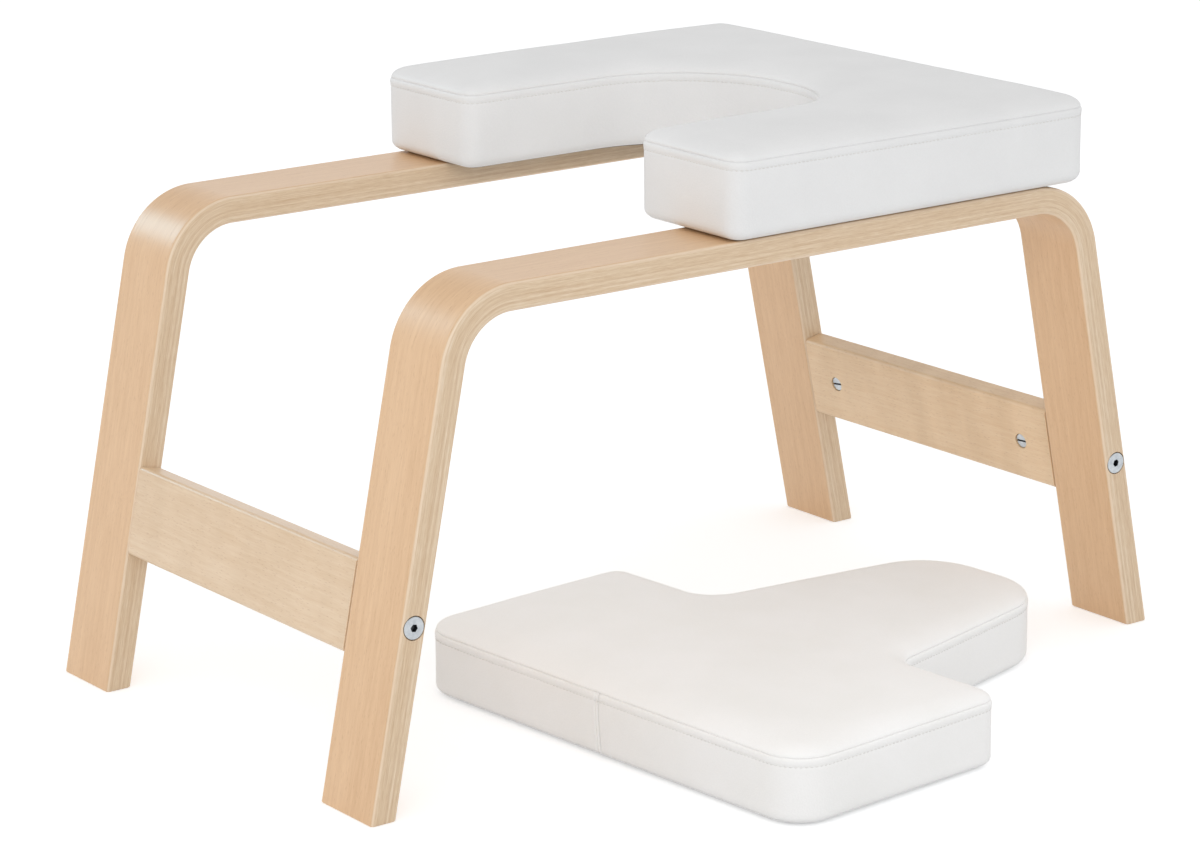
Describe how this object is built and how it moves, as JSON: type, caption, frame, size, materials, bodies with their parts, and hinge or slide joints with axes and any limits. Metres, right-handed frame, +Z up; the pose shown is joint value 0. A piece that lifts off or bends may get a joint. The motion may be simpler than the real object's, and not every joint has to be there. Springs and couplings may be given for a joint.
{
  "type": "headstand stool",
  "caption": "Low bent-ply stool with a U-shaped padded top for headstands, and a loose T-shaped pad that fills the U.",
  "frame": {"origin": "on the floor, in the middle of the box that holds the stool and its insert pad", "axes": "+X from the open end of the seat to its closed end, +Y to the left, away from the side where the insert lies, +Z up"},
  "size_m": [0.63, 0.5279, 0.37],
  "materials": {
    "bent_beech": "satin lacquer over laminated beech",
    "solid_beech": "satin lacquer over solid beech",
    "board_ply": "raw plywood",
    "zinc": "zinc plated",
    "white_leather": "fine-grained faux leather",
    "foam": "open-cell foam",
    "black_cloth": "thin dust cloth"
  },
  "bodies": {
    "stool": {"right_frame_front_leg": "bent_beech", "right_frame_front_bend": "bent_beech", "right_frame_rail": "bent_beech", "right_frame_rear_bend": "bent_beech", "right_frame_rear_leg": "bent_beech", "left_frame_front_leg": "bent_beech", "left_frame_front_bend": "bent_beech", "left_frame_rail": "bent_beech", "left_frame_rear_bend": "bent_beech", "left_frame_rear_leg": "bent_beech", "front_stretcher": "solid_beech", "front_right_bolt": "zinc", "front_right_barrel_nut": "zinc", "front_right_lower_dowel": "solid_beech", "front_right_upper_dowel": "solid_beech", "front_left_bolt": "zinc", "front_left_barrel_nut": "zinc", "front_left_lower_dowel": "solid_beech", "front_left_upper_dowel": "solid_beech", "rear_stretcher": "solid_beech", "rear_right_bolt": "zinc", "rear_right_barrel_nut": "zinc", "rear_right_lower_dowel": "solid_beech", "rear_right_upper_dowel": "solid_beech", "rear_left_bolt": "zinc", "rear_left_barrel_nut": "zinc", "rear_left_lower_dowel": "solid_beech", "rear_left_upper_dowel": "solid_beech", "seat_bottom_cloth": "black_cloth", "seat_cover_band": "white_leather", "seat_board": "board_ply", "seat_foam": "foam", "seat_cover_top": "white_leather", "seat_front_right_bolt": "zinc", "seat_front_right_washer": "zinc", "seat_front_right_tee_nut": "zinc", "seat_rear_right_bolt": "zinc", "seat_rear_right_washer": "zinc", "seat_rear_right_tee_nut": "zinc", "seat_front_left_bolt": "zinc", "seat_front_left_washer": "zinc", "seat_front_left_tee_nut": "zinc", "seat_rear_left_bolt": "zinc", "seat_rear_left_washer": "zinc", "seat_rear_left_tee_nut": "zinc"},
    "insert": {"insert_bottom_cloth": "black_cloth", "insert_cover_band": "white_leather", "insert_board": "board_ply", "insert_foam": "foam", "insert_cover_top": "white_leather"}
  },
  "joints": [
    {"name": "insert_slide", "type": "slide", "parent": "stool", "child": "insert", "axis": [0, -1, 0], "range_m": [0, 0.3]}
  ]
}
